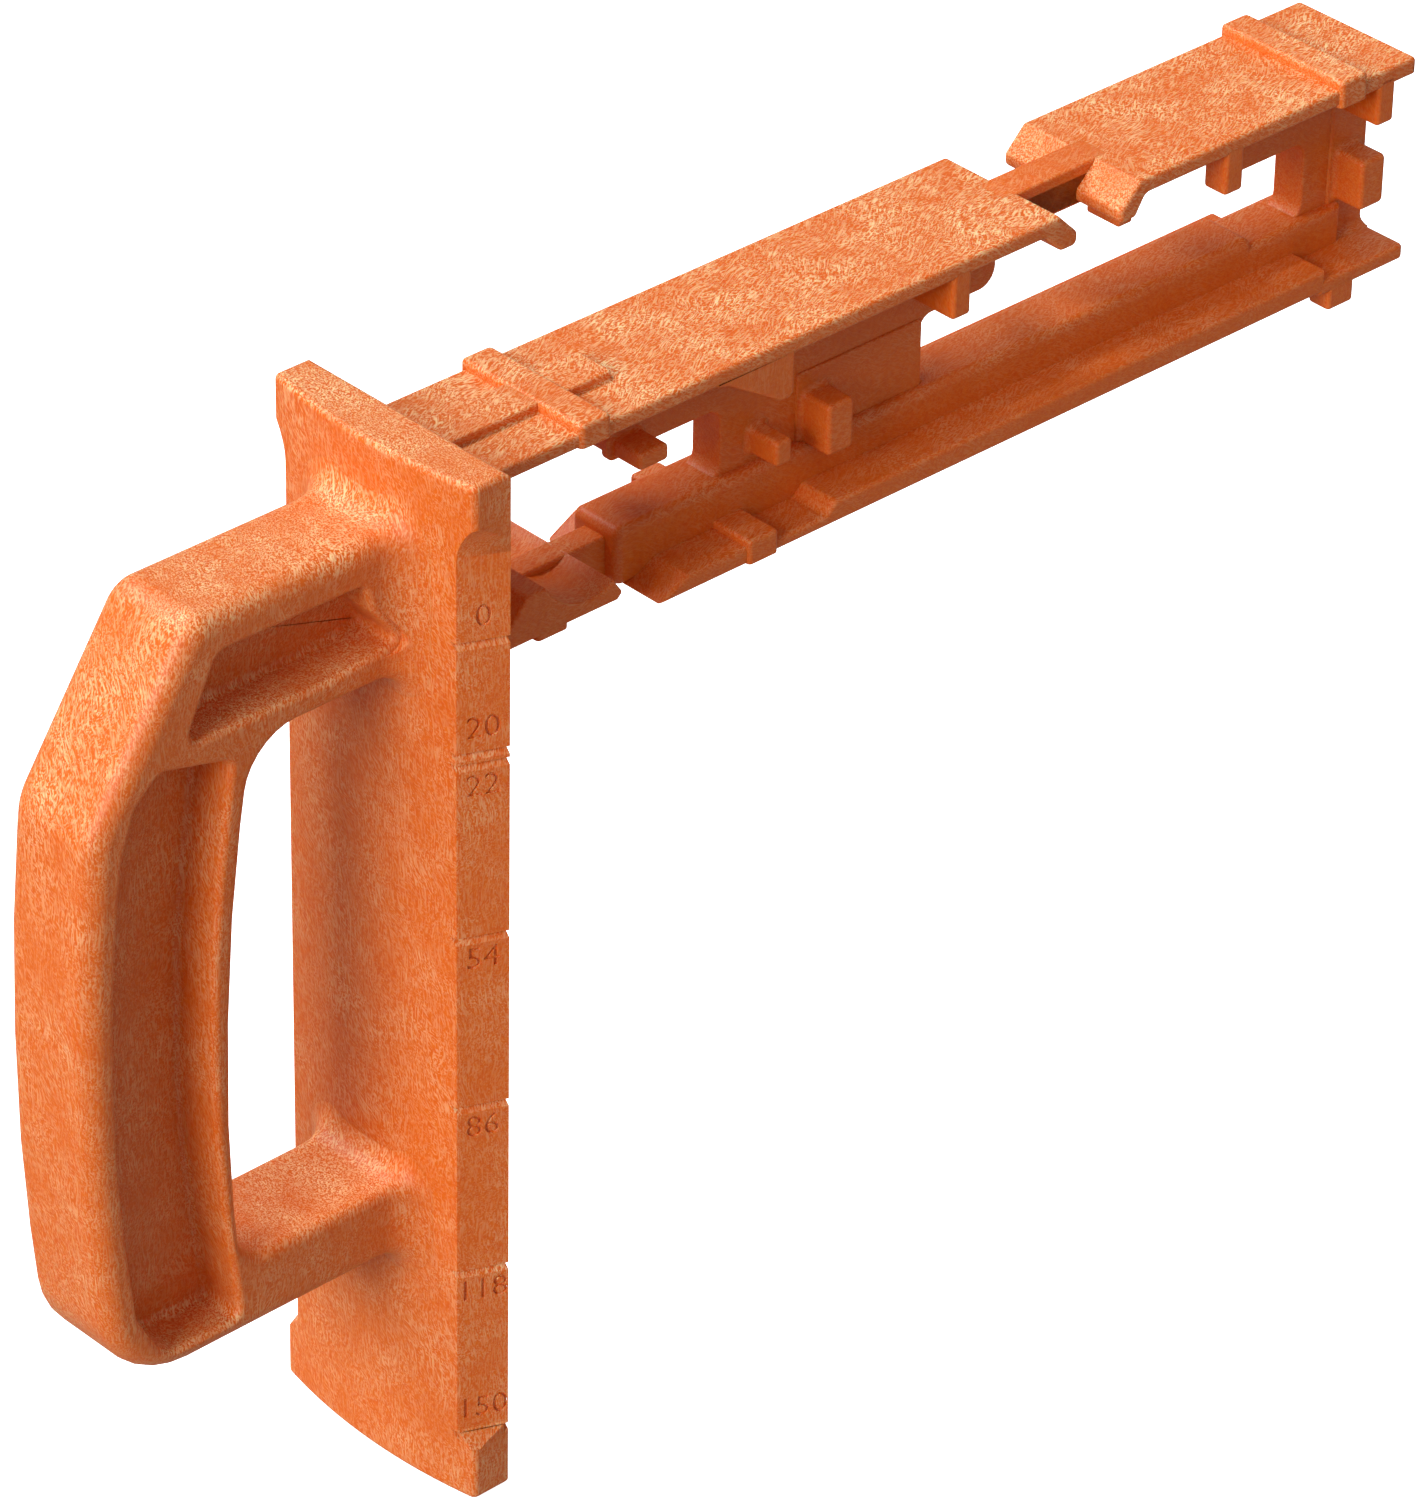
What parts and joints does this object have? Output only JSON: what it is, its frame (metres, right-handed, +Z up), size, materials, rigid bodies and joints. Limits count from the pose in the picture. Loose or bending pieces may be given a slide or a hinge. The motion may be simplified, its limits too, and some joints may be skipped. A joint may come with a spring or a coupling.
{
  "type": "drawer runner marking template",
  "caption": "Hand-held orange plastic marking template: a notched scale plate with a D-handle on its front and a long ribbed I-section arm on its back.",
  "frame": {"origin": "on the scale plate's flat back (stop) face, at the middle of its width and level with the zero graduation", "axes": "+X to the user's right across the plate, +Y away from the handle along the arm, +Z up along the scale towards the plate's top"},
  "size_m": [0.0466, 0.2836, 0.191],
  "materials": {
    "orange_polyamide": "satin moulded glass-fibre-filled polyamide with short pale fibre streaks"
  },
  "bodies": {
    "root": {"centre_strip_front": "orange_polyamide", "centre_strip_rear": "orange_polyamide", "end_cross_rib": "orange_polyamide", "end_lug_left": "orange_polyamide", "end_lug_right": "orange_polyamide", "end_peg_left": "orange_polyamide", "end_peg_right": "orange_polyamide", "end_post_front": "orange_polyamide", "end_post_rear": "orange_polyamide", "end_rib_under_left": "orange_polyamide", "end_rib_under_right": "orange_polyamide", "front_cross_rib": "orange_polyamide", "front_peg_left": "orange_polyamide", "front_peg_right": "orange_polyamide", "front_saddle_left": "orange_polyamide", "front_saddle_right": "orange_polyamide", "front_web_hanger": "orange_polyamide", "handle_grip": "orange_polyamide", "handle_lower_strut": "orange_polyamide", "handle_upper_strut": "orange_polyamide", "hanger_rib_left": "orange_polyamide", "hanger_rib_right": "orange_polyamide", "large_peg_left": "orange_polyamide", "large_peg_right": "orange_polyamide", "lower_cross_rib_left": "orange_polyamide", "lower_cross_rib_right": "orange_polyamide", "lower_end_plate": "orange_polyamide", "lower_flange_front_left": "orange_polyamide", "lower_flange_front_right": "orange_polyamide", "lower_rail_left": "orange_polyamide", "lower_rail_right": "orange_polyamide", "lower_spine": "orange_polyamide", "neck_bar": "orange_polyamide", "nose_ledge_left": "orange_polyamide", "nose_ledge_right": "orange_polyamide", "rear_lug_left": "orange_polyamide", "rear_lug_right": "orange_polyamide", "rear_web_hanger": "orange_polyamide", "saddle_foot": "orange_polyamide", "scale_plate": "orange_polyamide", "side_gusset_left": "orange_polyamide", "side_gusset_right": "orange_polyamide", "small_peg_left": "orange_polyamide", "small_peg_right": "orange_polyamide", "thin_spine": "orange_polyamide", "upper_end_plate": "orange_polyamide", "upper_flange_front": "orange_polyamide", "upper_flange_rear": "orange_polyamide", "web_block_front": "orange_polyamide", "web_block_rear": "orange_polyamide"}
  },
  "joints": []
}
